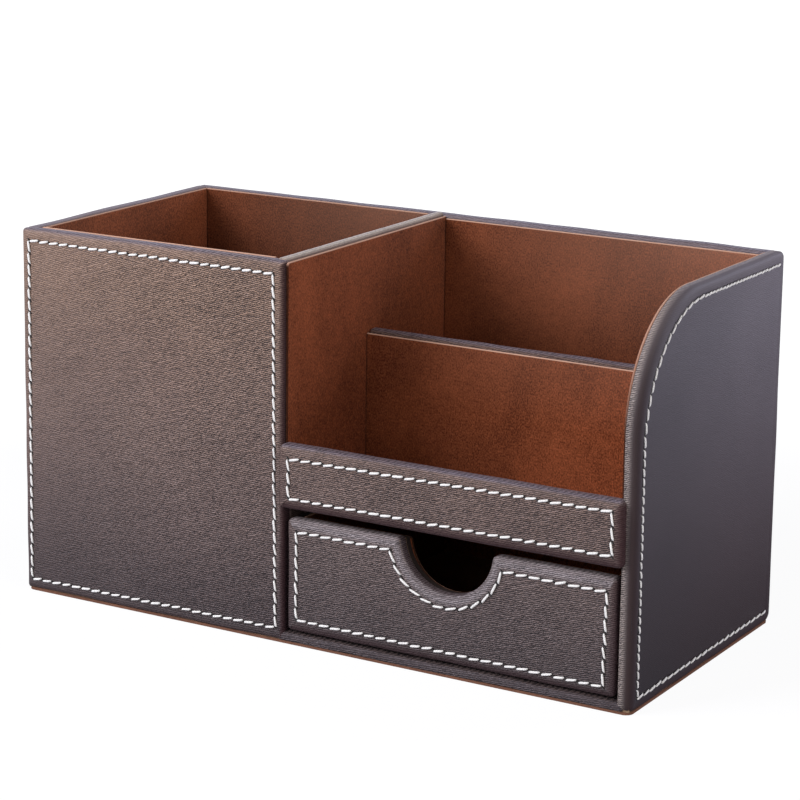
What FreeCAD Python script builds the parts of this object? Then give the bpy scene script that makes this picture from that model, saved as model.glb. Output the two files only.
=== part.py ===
import FreeCAD, Part
import Sketcher
import math
import os

# Desk organizer: a pen box, a letter bay with a partition, and a drawer under the bay.
# Every wall is a fibreboard core. Leather covers its outside and turns over its edges into a shallow
# step of the core, and a card wrapped in suede lines its inside.
# X runs to the right, Y to the rear and Z up. The origin is the middle of the footprint on the desk.

doc = FreeCAD.newDocument("pen_stand")
sheet = doc.addObject("Spreadsheet::Sheet", "Sizes")

SIZES = (
    ("case_width", 260, "over the wrapped side walls"),
    ("case_depth", 121, "from the pen box front to the back"),
    ("case_height", 143, "from the desk to the top of the walls"),
    ("felt_thick", 1, "felt under the base"),
    ("felt_inset", 0.3, "felt edge inside the case edge"),
    ("felt_corner", 3, "rounded corners of the felt"),
    ("leather_thick", 0.8, "every leather cover"),
    ("lining_thick", 1, "every suede lining card"),
    ("board_thick", 4.4, "core of the outer walls and of the shelf"),
    ("base_thick", 2.4, "core of the base"),
    ("divider_core", 5, "core of the divider"),
    ("turn_in", 10, "leather turned over an edge onto the inner face"),
    ("edge_round", 1.5, "rounding of the leather along outer edges"),
    ("curve_radius", 46.5, "top front corner of the right side wall"),
    ("pen_width", 118.6, "pen box, from the left face to the divider's right face"),
    ("pen_lining_drop", 0.3, "pen box linings below the wall top"),
    ("bay_lining_reveal", 1.4, "wall edge that stays bare beside the bay linings"),
    ("bay_lining_corner", 1.2, "rounded top front corner of the left bay lining"),
    ("drawer_opening", 48.2, "height of the drawer bay"),
    ("ledge_height", 23.9, "stitched ledge over the drawer"),
    ("ledge_core", 2.2, "core of the ledge, in front of the case"),
    ("ledge_lap", 1.7, "ledge over the front edge of the right side wall"),
    ("bay_front_thick", 2.4, "low wall behind the ledge"),
    ("bay_front_turn_in", 8, "leather turned down behind the low wall"),
    ("partition_setback", 56.8, "partition core behind the case front"),
    ("partition_core", 5, "thickness of the partition core"),
    ("partition_height", 51.2, "partition over the shelf"),
    ("partition_end_gap", 0.4, "partition to each side lining"),
    ("drawer_setback", 0.5, "drawer front behind the case front"),
    ("drawer_gap_left", 1.7, "drawer to the divider"),
    ("drawer_gap_right", 1.4, "drawer to the right side wall"),
    ("drawer_gap_top", 4.5, "drawer front to the shelf"),
    ("drawer_gap_rear", 2, "drawer box to the back wall"),
    ("drawer_run", 0.3, "drawer box over the bay floor"),
    ("drawer_front_lift", 0.8, "drawer front over the bay floor"),
    ("drawer_wall", 2, "walls and bottom of the drawer box"),
    ("drawer_box_drop", 1, "box walls below the top of the drawer front"),
    ("notch_radius", 18.8, "finger notch in the drawer front"),
    ("notch_depth", 17.8, "lowest point of the notch below the front's top edge"),
    ("notch_set_back", 0.4, "notch of the box wall and lining behind the leather edge"),
)

for row, (alias, number, meaning) in enumerate(SIZES, start=1):
    sheet.set(f"A{row}", meaning)
    sheet.set(f"B{row}", str(number))
    sheet.setAlias(f"B{row}", alias)
doc.recompute()


class Length:
    """A length with the expression that FreeCAD binds to and the value that it has now."""

    def __init__(self, text, value):
        self.text = text
        self.value = value

    @staticmethod
    def of(other):
        return other if isinstance(other, Length) else Length(str(other), float(other))

    def __add__(self, other):
        other = Length.of(other)
        return Length(f"({self.text} + {other.text})", self.value + other.value)

    def __sub__(self, other):
        other = Length.of(other)
        return Length(f"({self.text} - {other.text})", self.value - other.value)

    def __truediv__(self, number):
        return Length(f"({self.text} / {number})", self.value / number)

    def __neg__(self):
        return Length(f"(-1 * {self.text})", -self.value)


def size(alias):
    return Length(f"Sizes.{alias}", float(sheet.get(alias)))


leather = size("leather_thick")
lining = size("lining_thick")
turn_in = size("turn_in")
wall = leather + size("board_thick")

# Planes that several pieces share.
proud = size("ledge_core") + leather
front = (proud - size("case_depth")) / 2
rear = (proud + size("case_depth")) / 2
right = size("case_width") / 2
left = -right
top = size("case_height")
core_top = top - leather
base_bottom = size("felt_thick")
base_top = base_bottom + size("base_thick")
bay_floor = base_top + leather

left_inner = left + wall
right_inner = right - wall
rear_inner = rear - wall
pen_front_inner = front + wall
pen_right = left + size("pen_width")
divider_left = pen_right - leather - size("divider_core")

shelf_bottom = bay_floor + size("drawer_opening")
shelf_top = shelf_bottom + size("board_thick")
ledge_top = shelf_bottom + size("ledge_height")
ledge_right = right_inner + size("ledge_lap")
bay_left = pen_right + lining
bay_right = right_inner - lining
bay_front_inner = front + size("bay_front_thick")
bay_lining_top = top - size("bay_lining_reveal")

partition_front = front + size("partition_setback")
partition_rear = partition_front + size("partition_core")
partition_top = shelf_top + size("partition_height")

nodes = []


def node(piece):
    """Marks a piece as a sub-part of the organizer, to be checked and exported under its label."""
    nodes.append(piece)
    return piece


def block(label, x, y, z):
    """A box between two planes along each axis."""
    box = doc.addObject("Part::Box", label)
    box.Label = label
    spans = (("Length", "x", x), ("Width", "y", y), ("Height", "z", z))
    for side, axis, (low, high) in spans:
        box.setExpression(side, (high - low).text)
        box.setExpression(f"Placement.Base.{axis}", low.text)
    return box


def fused(label, *pieces):
    fuse = doc.addObject("Part::MultiFuse", label)
    fuse.Label = label
    fuse.Shapes = list(pieces)
    return fuse


def cut(label, base, *tools):
    """The base piece less the tools, joined first where there are several."""
    tool = tools[0] if len(tools) == 1 else fused(f"{label}_tools", *tools)
    difference = doc.addObject("Part::Cut", label)
    difference.Label = label
    difference.Base = base
    difference.Tool = tool
    return difference


def rounded(label, base, radius, wanted):
    """The base piece with every edge rounded that wanted() accepts by its two end points and middle."""
    doc.recompute()
    picked = []
    for index, edge in enumerate(base.Shape.Edges, start=1):
        ends = [vertex.Point for vertex in edge.Vertexes]
        middle = edge.valueAt((edge.FirstParameter + edge.LastParameter) / 2)
        if wanted(ends + [middle]):
            picked.append((index, radius.value, radius.value))
    fillet = doc.addObject("Part::Fillet", label)
    fillet.Label = label
    fillet.Base = base
    fillet.Edges = picked
    return fillet


def on_plane(points, axis, plane):
    """True where every point has this coordinate along the axis."""
    return all(abs(point[axis] - plane.value) < 1e-4 for point in points)


# Axes of a point, and the points of a sketch line or arc as the sketcher numbers them.
X, Y, Z = range(3)
LINE_START, LINE_END, CENTRE = range(1, 4)
SKETCH_ORIGIN = (-1, LINE_START)


def plate_body(label):
    body = doc.addObject("PartDesign::Body", label)
    body.Label = label
    return body


def sketch_on(body, name, plane_role, corner, offset):
    """A sketch on one of the body's own origin planes, with its zero at the profile's lower corner."""
    sketch = body.newObject("Sketcher::SketchObject", name)
    origin_plane = next(f for f in body.Origin.OriginFeatures if f.Role == plane_role)
    sketch.AttachmentSupport = [(origin_plane, "")]
    sketch.MapMode = "FlatFace"
    for axis, distance in zip("xyz", (*corner, offset)):
        sketch.setExpression(f"AttachmentOffset.Base.{axis}", distance.text)
    return sketch


def constrain(sketch, *terms):
    return sketch.addConstraint(Sketcher.Constraint(*terms))


def bind(sketch, length, *terms):
    """A distance or radius of the sketch, bound to a length."""
    index = constrain(sketch, *terms, length.value)
    sketch.setExpression(f"Constraints[{index}]", length.text)


def outline(sketch, corners):
    """Lines from corner to corner, joined end to start. An edge that runs level or upright stays so."""
    lines = []
    for start, end in zip(corners, corners[1:]):
        lines.append(sketch.addGeometry(Part.LineSegment(start, end), False))
        constrain(sketch, "Horizontal" if start.y == end.y else "Vertical", lines[-1])
    for first, second in zip(lines, lines[1:]):
        constrain(sketch, "Coincident", first, LINE_END, second, LINE_START)
    return lines


def pad(body, sketch, name, length):
    doc.recompute()
    feature = body.newObject("PartDesign::Pad", name)
    feature.Profile = sketch
    feature.setExpression("Length", length.text)
    return feature


def side_layer(body, name, x, y, z, radius):
    """A layer of a side wall between two X planes: a rectangle whose top front corner is one arc."""
    (x_low, x_high), (y_front, y_rear), (z_bottom, z_top) = x, y, z
    sketch = sketch_on(body, f"{name}_sketch", "YZ_Plane", (y_front, z_bottom), x_low)
    length, height, r = y_rear - y_front, z_top - z_bottom, radius.value
    vector = FreeCAD.Vector
    front_edge, bottom_edge, rear_edge, top_edge = outline(sketch, (
        vector(0, height.value - r),
        vector(0, 0),
        vector(length.value, 0),
        vector(length.value, height.value),
        vector(r, height.value),
    ))
    circle = Part.Circle(vector(r, height.value - r), vector(0, 0, 1), r)
    arc = sketch.addGeometry(Part.ArcOfCircle(circle, math.pi / 2, math.pi), False)
    constrain(sketch, "Tangent", top_edge, LINE_END, arc, LINE_START)
    constrain(sketch, "Tangent", front_edge, LINE_START, arc, LINE_END)
    constrain(sketch, "Coincident", *SKETCH_ORIGIN, bottom_edge, LINE_START)
    bind(sketch, length, "DistanceX", bottom_edge, LINE_START, bottom_edge, LINE_END)
    bind(sketch, height, "DistanceY", rear_edge, LINE_START, rear_edge, LINE_END)
    bind(sketch, radius, "Radius", arc)
    return pad(body, sketch, name, x_high - x_low)


def notched_plate(label, x, y, z, notch_grown):
    """A front plate of the drawer: a rectangle whose top edge dips in one arc, the finger notch.

    The arc's centre is the same on every plate, and its radius grows by notch_grown.
    """
    (x_low, x_high), (y_front, y_rear), (z_bottom, z_top) = x, y, z
    body = plate_body(label)
    # The plane's normal points to the front, so its offset is the rear face, turned round.
    sketch = sketch_on(body, f"{label}_sketch", "XZ_Plane", (x_low, z_bottom), -y_rear)
    width, height = x_high - x_low, z_top - z_bottom
    centre_x, centre_z = notch_centre_x - x_low, notch_centre_z - z_bottom
    radius = size("notch_radius") + notch_grown
    rise = centre_z.value - height.value
    half_chord = math.sqrt(radius.value ** 2 - rise ** 2)
    vector = FreeCAD.Vector
    left_top, left_edge, bottom_edge, right_edge, right_top = outline(sketch, (
        vector(centre_x.value - half_chord, height.value),
        vector(0, height.value),
        vector(0, 0),
        vector(width.value, 0),
        vector(width.value, height.value),
        vector(centre_x.value + half_chord, height.value),
    ))
    circle = Part.Circle(vector(centre_x.value, centre_z.value), vector(0, 0, 1), radius.value)
    dip = math.asin(rise / radius.value)
    arc = sketch.addGeometry(Part.ArcOfCircle(circle, math.pi + dip, 2 * math.pi - dip), False)
    constrain(sketch, "Coincident", arc, LINE_START, left_top, LINE_START)
    constrain(sketch, "Coincident", arc, LINE_END, right_top, LINE_END)
    constrain(sketch, "Coincident", *SKETCH_ORIGIN, bottom_edge, LINE_START)
    bind(sketch, width, "DistanceX", bottom_edge, LINE_START, bottom_edge, LINE_END)
    bind(sketch, height, "DistanceY", right_edge, LINE_START, right_edge, LINE_END)
    constrain(sketch, "Horizontal", left_top, LINE_START, right_top, LINE_END)
    bind(sketch, centre_x, "DistanceX", *SKETCH_ORIGIN, arc, CENTRE)
    bind(sketch, centre_z, "DistanceY", *SKETCH_ORIGIN, arc, CENTRE)
    bind(sketch, radius, "Radius", arc)
    pad(body, sketch, f"{label}_pad", y_rear - y_front)
    return body


# Base. Its core carries every wall. The felt under it rests on the desk.
base_board = node(block("base_board", (left + leather, right - leather),
                        (front + leather, rear - leather), (base_bottom, base_top)))
felt_inset = size("felt_inset")
felt_block = block("felt_block", (left + felt_inset, right - felt_inset),
                   (front + felt_inset, rear - felt_inset), (Length.of(0), base_bottom))
node(rounded("base_felt", felt_block, size("felt_corner"),
             lambda points: not on_plane(points, Z, Length.of(0))
             and not on_plane(points, Z, base_bottom)))

# The low rail under the drawer is the front edge of the base, wrapped. Behind it the drawer slides on
# a lining that lies level with the leather.
node(cut("base_front_leather",
         block("base_front_block", (pen_right, right_inner), (front, front + turn_in),
               (base_bottom, bay_floor)),
         base_board))
node(block("bay_floor_lining", (pen_right, right_inner), (front + turn_in, rear_inner),
           (base_top, bay_floor)))

# Outer walls. A step along the top of each core, as deep as the leather, takes the turned-in edge.
core_span = (base_top, core_top)
step_span = (core_top - turn_in, core_top)
left_side_board = node(cut(
    "left_side_board",
    block("left_side_core", (left + leather, left_inner), (pen_front_inner, rear - leather), core_span),
    block("left_side_step", (left_inner - leather, left_inner), (pen_front_inner, rear - leather),
          step_span)))
back_board = node(cut(
    "back_board",
    block("back_core", (left_inner, right_inner), (rear_inner, rear - leather), core_span),
    block("back_step", (left_inner, right_inner), (rear_inner, rear_inner + leather), step_span)))
pen_front_board = node(cut(
    "pen_front_board",
    block("pen_front_core", (left + leather, pen_right - leather), (front + leather, pen_front_inner),
          core_span),
    block("pen_front_step", (left + leather, pen_right - leather),
          (pen_front_inner - leather, pen_front_inner), step_span)))

# Right side wall: its top runs level from the rear and turns down to the front in one large arc.
curve = size("curve_radius")
right_side_board = node(plate_body("right_side_board"))
side_layer(right_side_board, "right_side_outer", (right_inner + leather, right - leather),
           (front + leather, rear - leather), (base_top, core_top), curve - leather)
side_layer(right_side_board, "right_side_inner", (right_inner, right_inner + leather),
           (front + leather + turn_in, rear - leather), (base_top, core_top - turn_in),
           curve - leather - turn_in)

# One leather wraps the right side, the back and the left side.
right_side_block = plate_body("right_side_block")
side_layer(right_side_block, "right_side_whole", (right_inner, right), (front, rear),
           (base_bottom, top), curve)
outer_block = fused(
    "outer_block",
    right_side_block,
    block("back_block", (left, right), (rear_inner, rear), (base_bottom, top)),
    block("left_side_block", (left, left_inner), (pen_front_inner, rear), (base_bottom, top)))
edge_round = size("edge_round")
outer_rounded = rounded(
    "outer_rounded", outer_block, edge_round,
    lambda points: on_plane(points, X, right) and not on_plane(points, Z, base_bottom)
    or on_plane(points, Z, top) and (on_plane(points, X, left) or on_plane(points, Y, rear))
    or on_plane(points, Y, rear) and on_plane(points, X, left))
node(cut("outer_leather", outer_rounded, base_board, left_side_board, back_board, right_side_board))

pen_front_rounded = rounded(
    "pen_front_rounded",
    block("pen_front_block", (left, pen_right), (front, pen_front_inner), (base_bottom, top)),
    edge_round,
    lambda points: on_plane(points, Y, front))
node(cut("pen_front_leather", pen_front_rounded, base_board, pen_front_board))

# Divider between the pen box and the bays. Its right face is leather down to the base.
divider_board = node(cut(
    "divider_board",
    block("divider_core", (divider_left, pen_right - leather), (pen_front_inner, rear_inner), core_span),
    block("divider_step", (divider_left, divider_left + leather), (pen_front_inner, rear_inner),
          step_span)))
node(cut("divider_leather",
         block("divider_block", (divider_left, pen_right), (pen_front_inner, rear_inner),
               (base_top, top)),
         divider_board))

# Shelf over the drawer, and the low wall that stands on its front edge between the bay's linings.
node(block("shelf_board", (pen_right, right_inner), (front, rear_inner), (shelf_bottom, shelf_top)))
bay_width = (bay_left, bay_right)
bay_front_step = ledge_top - leather - size("bay_front_turn_in")
bay_front_board = node(cut(
    "bay_front_board",
    block("bay_front_core", bay_width, (front, bay_front_inner), (shelf_top, ledge_top - leather)),
    block("bay_front_step", bay_width, (bay_front_inner - leather, bay_front_inner),
          (bay_front_step, ledge_top - leather))))

# The stitched ledge stands proud of the case front. Its leather runs on over the low wall.
ledge_board = node(block("ledge_board", (pen_right + leather, ledge_right - leather),
                         (front - size("ledge_core"), front),
                         (shelf_bottom + leather, ledge_top - leather)))
ledge_rounded = rounded(
    "ledge_rounded",
    block("ledge_block", (pen_right, ledge_right), (front - proud, front), (shelf_bottom, ledge_top)),
    edge_round,
    lambda points: on_plane(points, Y, front - proud))
ledge_wrap = fused(
    "ledge_wrap", ledge_rounded,
    block("bay_front_block", bay_width, (front, bay_front_inner), (bay_front_step, ledge_top)))
node(cut("ledge_leather", ledge_wrap, ledge_board, bay_front_board))

# Partition between the front and the rear slot: a core with leather over its top and ends.
end_gap = size("partition_end_gap")
partition_width = (bay_left + end_gap, bay_right - end_gap)
partition_core = (bay_left + end_gap + leather, bay_right - end_gap - leather)
partition_step = (partition_top - leather - turn_in, partition_top - leather)
partition_board = node(cut(
    "partition_board",
    block("partition_core", partition_core, (partition_front, partition_rear),
          (shelf_top, partition_top - leather)),
    block("partition_front_step", partition_core, (partition_front, partition_front + leather),
          partition_step),
    block("partition_rear_step", partition_core, (partition_rear - leather, partition_rear),
          partition_step)))
node(cut("partition_leather",
         block("partition_block", partition_width, (partition_front, partition_rear),
               (shelf_top, partition_top)),
         partition_board))

# Pen box linings: the two side cards run the full depth, the front and back cards fit between them.
pen_lining_span = (base_top, top - size("pen_lining_drop"))
pen_depth = (pen_front_inner, rear_inner)
pen_between = (left_inner + lining, divider_left - lining)
node(block("pen_lining_left", (left_inner, left_inner + lining), pen_depth, pen_lining_span))
node(block("pen_lining_right", (divider_left - lining, divider_left), pen_depth, pen_lining_span))
node(block("pen_lining_front", pen_between, (pen_front_inner, pen_front_inner + lining),
           pen_lining_span))
node(block("pen_lining_back", pen_between, (rear_inner - lining, rear_inner), pen_lining_span))
node(block("pen_lining_floor", pen_between, (pen_front_inner + lining, rear_inner - lining),
           (base_top, base_top + lining)))

# Letter bay linings. The right card follows the curve of its wall, a little inside it.
reveal = size("bay_lining_reveal")
lining_depth = (front + reveal, rear_inner)
bay_lining_left = node(plate_body("bay_lining_left"))
side_layer(bay_lining_left, "bay_lining_left_card", (pen_right, bay_left), lining_depth,
           (shelf_top, bay_lining_top), size("bay_lining_corner"))
bay_lining_right = node(plate_body("bay_lining_right"))
side_layer(bay_lining_right, "bay_lining_right_card", (bay_right, right_inner), lining_depth,
           (shelf_top, bay_lining_top), curve - reveal)
node(block("bay_lining_back", bay_width, (rear_inner - lining, rear_inner),
           (shelf_top, bay_lining_top)))
node(block("bay_lining_front", bay_width, (bay_front_inner, bay_front_inner + lining),
           (shelf_top, ledge_top - reveal)))
partition_lining_span = (shelf_top, partition_top - reveal)
node(block("partition_lining_front", bay_width, (partition_front - lining, partition_front),
           partition_lining_span))
node(block("partition_lining_rear", bay_width, (partition_rear, partition_rear + lining),
           partition_lining_span))
slot_floor_span = (shelf_top, shelf_top + lining)
node(block("front_slot_floor", bay_width, (bay_front_inner + lining, partition_front - lining),
           slot_floor_span))
node(block("rear_slot_floor", bay_width, (partition_rear + lining, rear_inner - lining),
           slot_floor_span))

# Drawer: a wrapped front with a finger notch, and a thin box behind it.
drawer_left = pen_right + size("drawer_gap_left")
drawer_right = right_inner - size("drawer_gap_right")
drawer_front = front + size("drawer_setback")
drawer_face_rear = drawer_front + wall
drawer_rear = rear_inner - size("drawer_gap_rear")
drawer_face_bottom = bay_floor + size("drawer_front_lift")
drawer_face_top = shelf_bottom - size("drawer_gap_top")
box_wall = size("drawer_wall")
box_bottom = bay_floor + size("drawer_run")
box_top = drawer_face_top - size("drawer_box_drop")
box_inner_front = drawer_face_rear + box_wall
notch_centre_x = (drawer_left + drawer_right) / 2
notch_centre_z = drawer_face_top - size("notch_depth") + size("notch_radius")
drawer_width = (drawer_left, drawer_right)
no_growth = Length.of(0)

drawer_front_board = node(notched_plate(
    "drawer_front_board", (drawer_left + leather, drawer_right - leather),
    (drawer_front + leather, drawer_face_rear),
    (drawer_face_bottom + leather, drawer_face_top - leather), leather))
drawer_face = notched_plate("drawer_face", drawer_width, (drawer_front, drawer_face_rear),
                            (drawer_face_bottom, drawer_face_top), no_growth)
drawer_face_rounded = rounded(
    "drawer_face_rounded", drawer_face, edge_round,
    lambda points: on_plane(points, Y, drawer_front))
node(cut("drawer_front_leather", drawer_face_rounded, drawer_front_board))

box_span = (box_bottom, box_top)
box_side_depth = (box_inner_front, drawer_rear)
node(notched_plate("drawer_inner_front", drawer_width, (drawer_face_rear, box_inner_front), box_span,
                   size("notch_set_back")))
node(block("drawer_left_side", (drawer_left, drawer_left + box_wall), box_side_depth, box_span))
node(block("drawer_right_side", (drawer_right - box_wall, drawer_right), box_side_depth, box_span))
box_between = (drawer_left + box_wall, drawer_right - box_wall)
node(block("drawer_back", box_between, (drawer_rear - box_wall, drawer_rear), box_span))
node(block("drawer_bottom", box_between, (box_inner_front, drawer_rear - box_wall),
           (box_bottom, box_bottom + box_wall)))

# Drawer linings stand on the bottom. The front one has the notch too.
box_floor = box_bottom + box_wall
lining_span = (box_floor, box_top)
lining_between = (drawer_left + box_wall + lining, drawer_right - box_wall - lining)
lining_side_depth = (box_inner_front, drawer_rear - box_wall)
node(notched_plate("drawer_lining_front", lining_between, (box_inner_front, box_inner_front + lining),
                   lining_span, size("notch_set_back")))
node(block("drawer_lining_left", (drawer_left + box_wall, drawer_left + box_wall + lining),
           lining_side_depth, lining_span))
node(block("drawer_lining_right", (drawer_right - box_wall - lining, drawer_right - box_wall),
           lining_side_depth, lining_span))
node(block("drawer_lining_back", lining_between,
           (drawer_rear - box_wall - lining, drawer_rear - box_wall), lining_span))
node(block("drawer_lining_floor", lining_between,
           (box_inner_front + lining, drawer_rear - box_wall - lining),
           (box_floor, box_floor + lining)))

doc.recompute()

for item in doc.Objects:
    if "Invalid" in item.State or "Error" in item.State:
        raise RuntimeError(f"{item.Label} did not compute: {item.State}")
for piece in nodes:
    if piece.Shape.isNull() or not piece.Shape.isValid():
        raise RuntimeError(f"{piece.Label} has no valid shape")
    if len(piece.Shape.Solids) != 1:
        raise RuntimeError(f"{piece.Label} has {len(piece.Shape.Solids)} solids")

os.makedirs("parts", exist_ok=True)
for piece in nodes:
    piece.Shape.exportStep(os.path.join("parts", f"{piece.Label}.step"))
print(f"{len(nodes)} pieces written")
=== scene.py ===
import math
from collections import namedtuple

import bpy
import numpy as np
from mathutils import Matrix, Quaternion, Vector


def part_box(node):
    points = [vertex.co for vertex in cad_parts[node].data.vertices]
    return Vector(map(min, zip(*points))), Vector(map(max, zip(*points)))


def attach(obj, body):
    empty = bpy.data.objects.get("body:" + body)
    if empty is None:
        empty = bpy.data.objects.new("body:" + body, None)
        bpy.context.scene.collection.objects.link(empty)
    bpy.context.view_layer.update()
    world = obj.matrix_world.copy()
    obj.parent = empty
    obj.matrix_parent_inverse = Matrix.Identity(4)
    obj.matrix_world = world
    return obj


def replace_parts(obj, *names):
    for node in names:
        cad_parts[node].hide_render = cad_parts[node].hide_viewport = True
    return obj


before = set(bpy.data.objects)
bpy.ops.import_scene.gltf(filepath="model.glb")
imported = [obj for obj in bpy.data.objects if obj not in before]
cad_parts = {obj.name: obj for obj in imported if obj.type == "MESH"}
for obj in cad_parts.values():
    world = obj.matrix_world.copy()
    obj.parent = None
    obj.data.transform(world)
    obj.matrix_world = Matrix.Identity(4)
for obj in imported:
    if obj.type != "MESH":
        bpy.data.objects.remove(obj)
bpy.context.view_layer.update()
MM = 0.001


# Right side wall. A fibreboard panel with leather glued round it: over the face, round the edges and
# a finger's width onto the inner face. Its top front corner is one large arc, and a white seam runs
# along the front, the arc, the top and the bottom.

class Socket:
    """An output of a shader node. Arithmetic on it adds Math nodes, so a formula reads as one line."""

    def __init__(self, tree, output=None):
        self.tree = tree
        self.output = output

    def make(self, kind, settings=None, inputs=None, output=0):
        """A new node of this kind. Its settings are set first, then its sockets are filled or linked."""
        node = self.tree.nodes.new("ShaderNode" + kind)
        for name, value in (settings or {}).items():
            setattr(node, name, value)
        for name, value in (inputs or {}).items():
            if isinstance(value, Socket):
                self.tree.links.new(value.output, node.inputs[name])
            else:
                node.inputs[name].default_value = value
        return Socket(self.tree, node.outputs[output])

    def math(self, operation, other):
        """A Math node on this socket and another socket or number."""
        return self.make("Math", {"operation": operation}, {0: self, 1: other})

    def __add__(self, other):
        return self.math("ADD", other)

    def __sub__(self, other):
        return self.math("SUBTRACT", other)

    def __rsub__(self, other):
        return self * -1.0 + other

    def __mul__(self, other):
        return self.math("MULTIPLY", other)

    __radd__ = __add__
    __rmul__ = __mul__

    def clamped(self):
        """This number, held between 0 and 1."""
        return self.make("Clamp", {}, {"Value": self})

    def axis(self, letter):
        """One part of this vector."""
        return self.make("SeparateXYZ", {}, {0: self}, letter)

    def attribute(self, name):
        """A number that the mesh holds at each of its points."""
        return self.make("Attribute", {"attribute_name": name}, {}, "Fac")

    def mixed(self, first, second):
        """The first colour where this socket is 0 and the second where it is 1."""
        return self.make("Mix", {"data_type": "RGBA"}, {"Factor": self, 6: first, 7: second}, 2)

    def times(self, shade):
        """A colour, fixed or from another node, times this number."""
        return self.make("VectorMath", {"operation": "SCALE"}, {0: shade, "Scale": self})

    def noise(self, scale, detail=2.0, distortion=0.0):
        """Smooth noise about 0.5 on these coordinates, with features of about 1 / scale metres."""
        return self.make("TexNoise", {}, {"Vector": self, "Scale": scale, "Detail": detail,
                                          "Distortion": distortion})

    def stretched(self, factors, turn=(0, 0, 0)):
        """Coordinates for a pattern drawn out along each axis by these factors, then turned."""
        return self.make("Mapping", {"vector_type": "TEXTURE"},
                         {"Vector": self, "Scale": factors, "Rotation": turn})

    def bump(self, height, strength, distance):
        """A normal that follows a height, whose full swing is this distance in millimetres."""
        return self.make("Bump", {}, {"Height": height, "Strength": strength, "Distance": distance * MM})


def finish(name, **fixed):
    """A material, its Principled shader with these fixed values, and its Object coordinates."""
    material = bpy.data.materials.new(name)
    material.use_nodes = True
    shader = material.node_tree.nodes["Principled BSDF"]
    for socket, value in fixed.items():
        shader.inputs[socket.replace("_", " ")].default_value = value
    return material, shader, Socket(material.node_tree).make("TexCoord", output="Object")


def colour(*parts):
    """A colour as shader sockets take it, with a fourth part that is always 1."""
    return (*parts, 1.0)


def feed(shader, **sockets):
    """Links each socket to the shader's input of that name."""
    for name, socket in sockets.items():
        socket.tree.links.new(socket.output, shader.inputs[name.replace("_", " ")])


def leather_finish(name, low=(0.118, 0.086, 0.084), high=(0.146, 0.095, 0.070),
                   wear_and_highlight=(0.12, 0.105, 0.14), painted_shade_colour=(0.036, 0.012, 0.014), gloss=0.36, painted_back_light=0.0):
    """Coated leather: fine wavy ripples over a soft body, a rim of wear and painted highlight.

    The body's colour goes from low to high over the lowest 125 mm: the leather's own colour with a
    painted gradient of light that leaves it darker and cooler at the bottom. Three attributes shape
    it: "grain" is the strength of the ripples, "edge" is 1 on a rim of the wear_and_highlight
    colour, partly wear and partly a painted highlight and reflection, and "painted_shade" is 1 where
    painted shade darkens the leather at and behind its edges, in the painted_shade_colour. Painted
    light makes it lighter towards its top and its left, and painted_back_light is how much lighter it
    gets with each metre towards the back. The ripples are weak at the left end, where the leather is
    stretched smooth.
    """
    material, shader, place = finish(name, Specular_IOR_Level=gloss,
                                     Specular_Tint=colour(0.93, 0.90, 1.0))
    rim_wear_and_highlight, grain, painted_shade = [place.attribute(label) for label in ("edge", "grain", "painted_shade")]
    right, behind, height = [place.axis(letter) for letter in "XYZ"]
    # The ripples run at a slight slant. Breaks cut them short, and patches cloud the colour.
    tilted = place.stretched((2.2, 2.2, 1.0), (0, math.radians(-18), 0))
    ripples = place.make("TexWave", {"bands_direction": "Z"},
                         {"Vector": tilted, "Scale": 460, "Distortion": 4.2, "Detail": 2.0,
                          "Detail Scale": 3.4}, "Fac")
    breaks = tilted.noise(3700, 1.0, 0.3)
    patches = place.noise(26, 3.0)
    strength = grain * ((right * 11 + 1.54).clamped() * 0.75 + 0.5)
    relief = ripples * 0.5 + breaks * 0.5
    # The dye is darker in the ripples' hollows, and lighter towards the top and the left.
    # The ripples' troughs are darker, partly the grain's own colour and partly painted shade. Painted
    # light makes the leather lighter towards the top and the left, and the change from the low to the high
    # colour is a painted gradient of light.
    tone = ((relief - 0.5) * strength * 3.1 + (patches - 0.5) * 0.6 + 1).math("MAXIMUM", 0.1)
    painted_light = (height * (12.5 - height * 34) + 0.44) * (1.02 - right * 0.6 + behind * painted_back_light)
    dye_and_painted_tint = (height * 8).clamped().mixed(colour(*low), colour(*high))
    # Painted shade: where painted_shade is 1 the body takes the painted_shade_colour.
    body = (painted_shade * 0.9).mixed((tone * painted_light).times(dye_and_painted_tint), colour(*painted_shade_colour))
    # The rim: partly wear, partly a painted highlight and reflection, weaker under painted shade.
    rub_and_highlight = (rim_wear_and_highlight * (patches * 0.9 + 0.35) * (1 - painted_shade * 0.8)).clamped()
    feed(shader, Base_Color=(rub_and_highlight * 0.8).mixed(body, tone.times(wear_and_highlight)),
         Roughness=(0.5 - rub_and_highlight * 0.08 + (0.5 - relief) * strength * 0.5 + painted_shade * 0.45).clamped(),
         Normal=place.bump(relief * strength, 1.0, 0.4))
    return material


Leg = namedtuple("Leg", "kind samples length stitched")


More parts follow.
